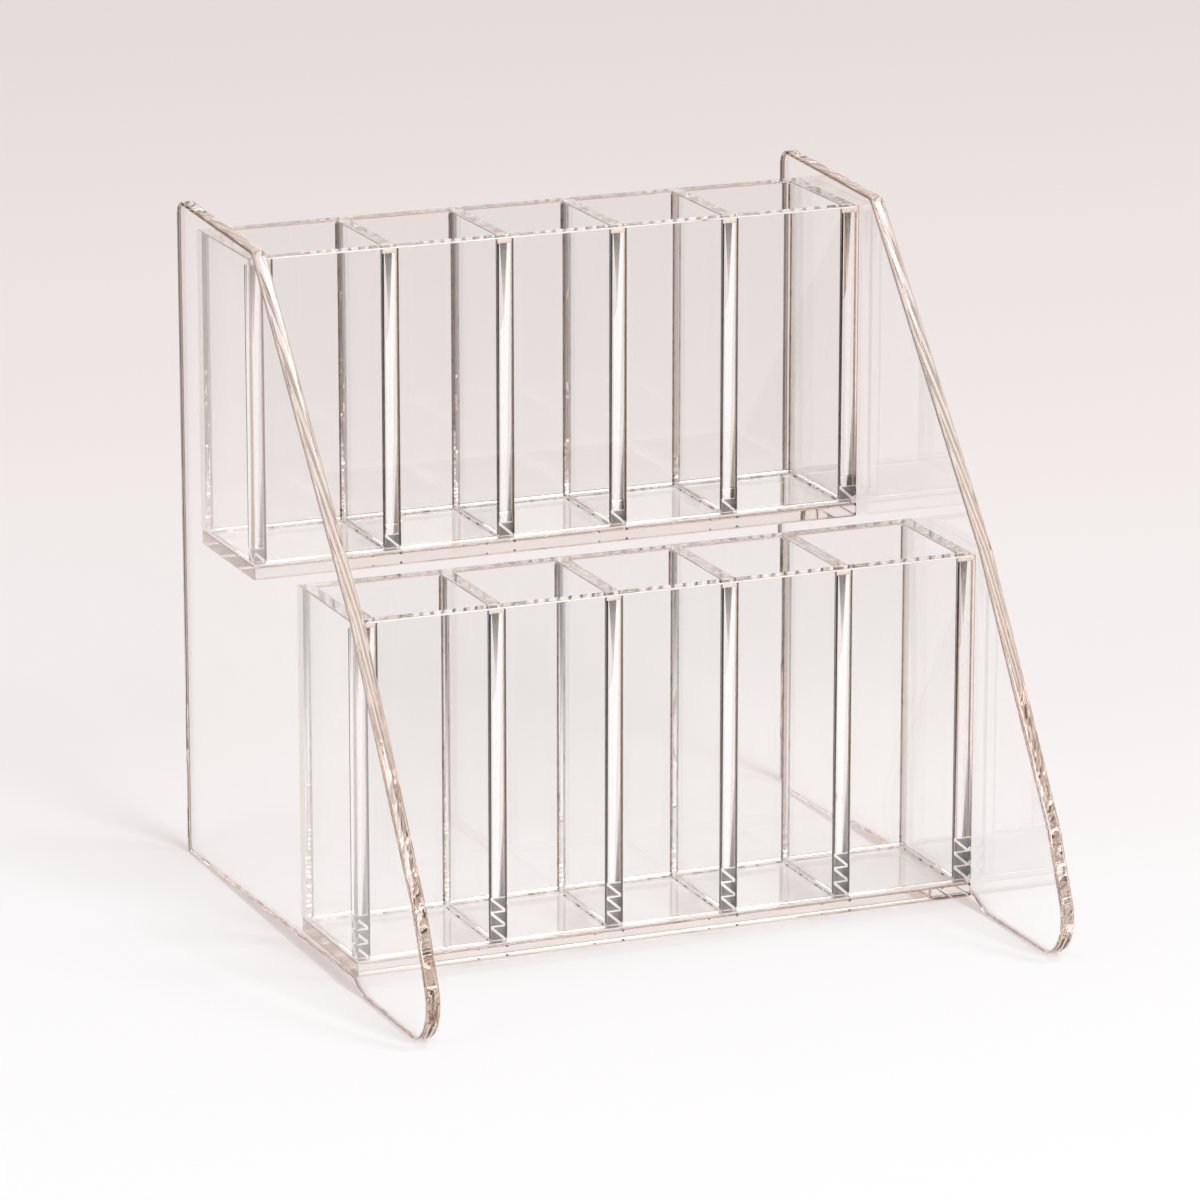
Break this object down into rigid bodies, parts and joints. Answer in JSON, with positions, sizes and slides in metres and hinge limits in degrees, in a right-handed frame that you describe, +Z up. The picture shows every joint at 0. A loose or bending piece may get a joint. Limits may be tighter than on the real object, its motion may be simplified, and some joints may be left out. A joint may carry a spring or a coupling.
{
  "type": "nail file display stand",
  "caption": "Two-tier clear acrylic stand with shaped side panels and two divided, open-topped trays that hold nail files upright.",
  "frame": {"origin": "on the table, at the middle of the stand's outline in width and depth", "axes": "+Z up; +X across the stand to the right as a user faces it; the front, with the low tray and the rounded noses, faces -Y"},
  "size_m": [0.1386, 0.139, 0.1399],
  "materials": {
    "clear_side_panel": "clear cast acrylic sheet, polished faces and edges",
    "clear_tray_wall": "clear cast acrylic sheet, polished faces and edges",
    "clear_tray_floor": "clear cast acrylic sheet, polished faces and edges",
    "clear_divider": "clear cast acrylic sheet, polished faces and edges"
  },
  "bodies": {
    "root": {"side_panel_left": "clear_side_panel", "side_panel_right": "clear_side_panel", "upper_tray_floor": "clear_tray_floor", "upper_tray_back_wall": "clear_tray_wall", "upper_tray_front_wall": "clear_tray_wall", "upper_tray_end_wall_left": "clear_tray_wall", "upper_tray_end_wall_right": "clear_tray_wall", "upper_tray_divider_1": "clear_divider", "upper_tray_divider_2": "clear_divider", "upper_tray_divider_3": "clear_divider", "upper_tray_divider_4": "clear_divider", "lower_tray_floor": "clear_tray_floor", "lower_tray_back_wall": "clear_tray_wall", "lower_tray_front_wall": "clear_tray_wall", "lower_tray_end_wall_left": "clear_tray_wall", "lower_tray_end_wall_right": "clear_tray_wall", "lower_tray_divider_1": "clear_divider", "lower_tray_divider_2": "clear_divider", "lower_tray_divider_3": "clear_divider", "lower_tray_divider_4": "clear_divider"}
  },
  "joints": []
}
